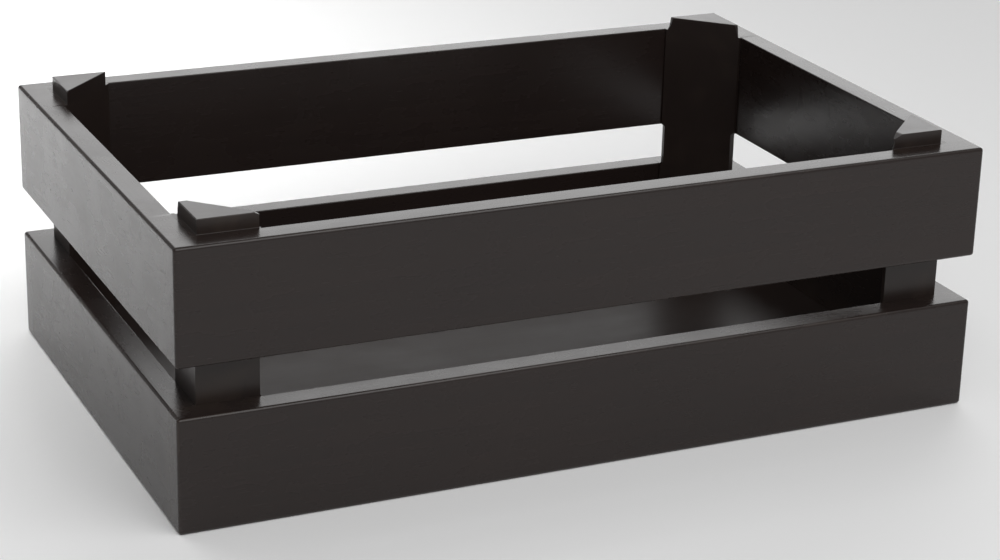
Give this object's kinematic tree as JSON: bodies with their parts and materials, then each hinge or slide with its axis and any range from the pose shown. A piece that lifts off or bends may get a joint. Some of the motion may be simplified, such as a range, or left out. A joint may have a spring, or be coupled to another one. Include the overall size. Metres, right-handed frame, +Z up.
{
  "type": "slatted stacking crate",
  "caption": "Low open wooden crate: two butt-jointed rings of boards with a slot between them, on three-cornered posts that stand above the rim for stacking, over a panel floor.",
  "frame": {"origin": "middle of the footprint, at the height of the surface that the crate stands on", "axes": "+X along the long boards, +Y from the front board to the back board, +Z up towards the open top"},
  "size_m": [0.29, 0.185, 0.1005],
  "materials": {
    "board_lacquer": "black-brown satin lacquer over close-grained wood, sanded smooth, arrises eased",
    "post_lacquer": "black-brown satin lacquer, a little more open in the grain on the end-grain tips",
    "floor_lacquer": "black-brown satin lacquer on a thin smooth panel",
    "pin_steel": "plain bright steel wire, hidden in the wood"
  },
  "bodies": {
    "root": {"lower_front_board": "board_lacquer", "lower_back_board": "board_lacquer", "lower_left_board": "board_lacquer", "lower_right_board": "board_lacquer", "upper_front_board": "board_lacquer", "upper_back_board": "board_lacquer", "upper_left_board": "board_lacquer", "upper_right_board": "board_lacquer", "front_left_post": "post_lacquer", "front_right_post": "post_lacquer", "back_left_post": "post_lacquer", "back_right_post": "post_lacquer", "floor_panel": "floor_lacquer", "pin_lower_front_left_long_low": "pin_steel", "pin_lower_front_left_long_high": "pin_steel", "pin_lower_front_left_short_low": "pin_steel", "pin_lower_front_left_short_high": "pin_steel", "pin_lower_front_right_long_low": "pin_steel", "pin_lower_front_right_long_high": "pin_steel", "pin_lower_front_right_short_low": "pin_steel", "pin_lower_front_right_short_high": "pin_steel", "pin_lower_back_left_long_low": "pin_steel", "pin_lower_back_left_long_high": "pin_steel", "pin_lower_back_left_short_low": "pin_steel", "pin_lower_back_left_short_high": "pin_steel", "pin_lower_back_right_long_low": "pin_steel", "pin_lower_back_right_long_high": "pin_steel", "pin_lower_back_right_short_low": "pin_steel", "pin_lower_back_right_short_high": "pin_steel", "pin_upper_front_left_long_low": "pin_steel", "pin_upper_front_left_long_high": "pin_steel", "pin_upper_front_left_short_low": "pin_steel", "pin_upper_front_left_short_high": "pin_steel", "pin_upper_front_right_long_low": "pin_steel", "pin_upper_front_right_long_high": "pin_steel", "pin_upper_front_right_short_low": "pin_steel", "pin_upper_front_right_short_high": "pin_steel", "pin_upper_back_left_long_low": "pin_steel", "pin_upper_back_left_long_high": "pin_steel", "pin_upper_back_left_short_low": "pin_steel", "pin_upper_back_left_short_high": "pin_steel", "pin_upper_back_right_long_low": "pin_steel", "pin_upper_back_right_long_high": "pin_steel", "pin_upper_back_right_short_low": "pin_steel", "pin_upper_back_right_short_high": "pin_steel"}
  },
  "joints": []
}
